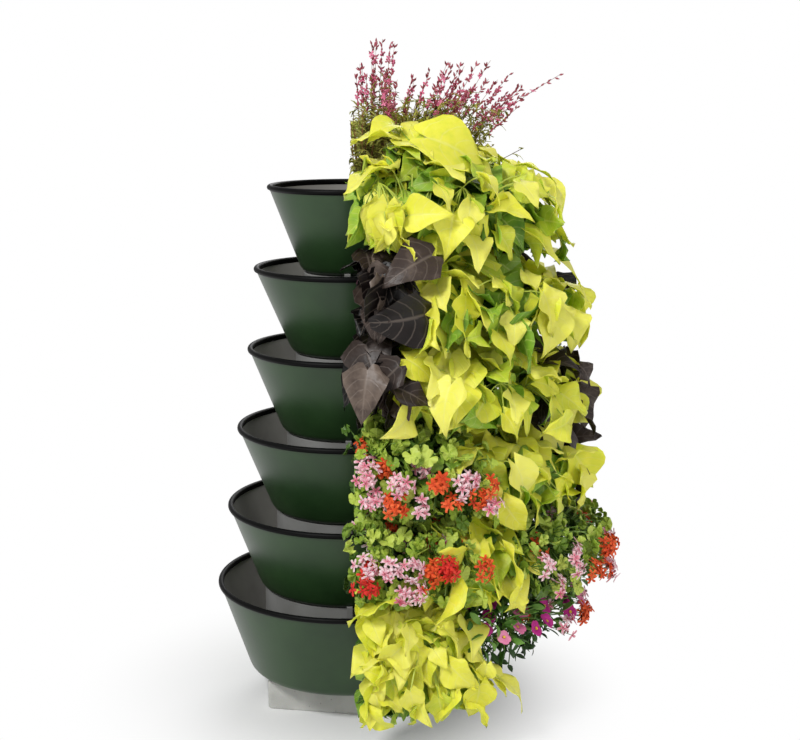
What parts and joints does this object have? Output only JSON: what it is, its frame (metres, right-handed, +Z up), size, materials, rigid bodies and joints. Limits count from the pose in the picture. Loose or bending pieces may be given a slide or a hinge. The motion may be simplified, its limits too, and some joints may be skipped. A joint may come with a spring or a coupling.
{
  "type": "vertical planter tower",
  "caption": "Tower of stacked round pots on a square plinth. Each tapered pot has an edge trim and a riser that carries the next. Half is bare, half planted with trailing foliage.",
  "frame": {"origin": "centre of the plinth's underside, on the tower's axis", "axes": "+Z up along the tower's axis, -Y towards the front, +X towards the planted half"},
  "size_m": [0.6873, 0.7366, 1.1636],
  "materials": {
    "plinth": "matte",
    "bolt": "satin",
    "pot": "satin",
    "trim": "satin",
    "riser": "matte",
    "soil": "matte",
    "lime_foliage": "matte",
    "purple_foliage": "matte",
    "flowering_foliage": "matte",
    "spike_foliage": "matte"
  },
  "bodies": {
    "tier_1": {"plinth": "plinth", "hold_down_bolt": "bolt", "pot_1": "pot", "rim_trim_1": "trim", "riser_1": "riser", "soil_1": "soil", "lime_vine_1_front": "lime_foliage", "calibrachoa_1_right": "flowering_foliage", "lime_vine_1_back": "lime_foliage"},
    "tier_2": {"pot_2": "pot", "rim_trim_2": "trim", "riser_2": "riser", "soil_2": "soil", "geranium_2_front": "flowering_foliage", "lime_vine_2_front_right": "lime_foliage", "geranium_2_back_right": "flowering_foliage", "lime_vine_2_back": "lime_foliage"},
    "tier_3": {"pot_3": "pot", "rim_trim_3": "trim", "riser_3": "riser", "soil_3": "soil", "geranium_3_front": "flowering_foliage", "lime_vine_3_front_right": "lime_foliage", "purple_vine_3_back_right": "purple_foliage", "geranium_3_back": "flowering_foliage"},
    "tier_4": {"pot_4": "pot", "rim_trim_4": "trim", "riser_4": "riser", "soil_4": "soil", "purple_vine_4_front": "purple_foliage", "lime_vine_4_right": "lime_foliage", "lime_vine_4_back": "lime_foliage"},
    "tier_5": {"pot_5": "pot", "rim_trim_5": "trim", "riser_5": "riser", "soil_5": "soil", "purple_vine_5_front": "purple_foliage", "lime_vine_5_right": "lime_foliage", "purple_vine_5_back": "purple_foliage"},
    "tier_6": {"pot_6": "pot", "rim_trim_6": "trim", "soil_6": "soil", "lime_vine_6_front": "lime_foliage", "lime_vine_6_right": "lime_foliage", "pink_spikes_6_back": "spike_foliage"}
  },
  "joints": [
    {"name": "lift_tier_2", "type": "slide", "parent": "tier_1", "child": "tier_2", "axis": [0, 0, 1], "range_m": [0, 0.16]},
    {"name": "lift_tier_3", "type": "slide", "parent": "tier_2", "child": "tier_3", "axis": [0, 0, 1], "range_m": [0, 0.16]},
    {"name": "lift_tier_4", "type": "slide", "parent": "tier_3", "child": "tier_4", "axis": [0, 0, 1], "range_m": [0, 0.16]},
    {"name": "lift_tier_5", "type": "slide", "parent": "tier_4", "child": "tier_5", "axis": [0, 0, 1], "range_m": [0, 0.16]},
    {"name": "lift_tier_6", "type": "slide", "parent": "tier_5", "child": "tier_6", "axis": [0, 0, 1], "range_m": [0, 0.16]}
  ]
}
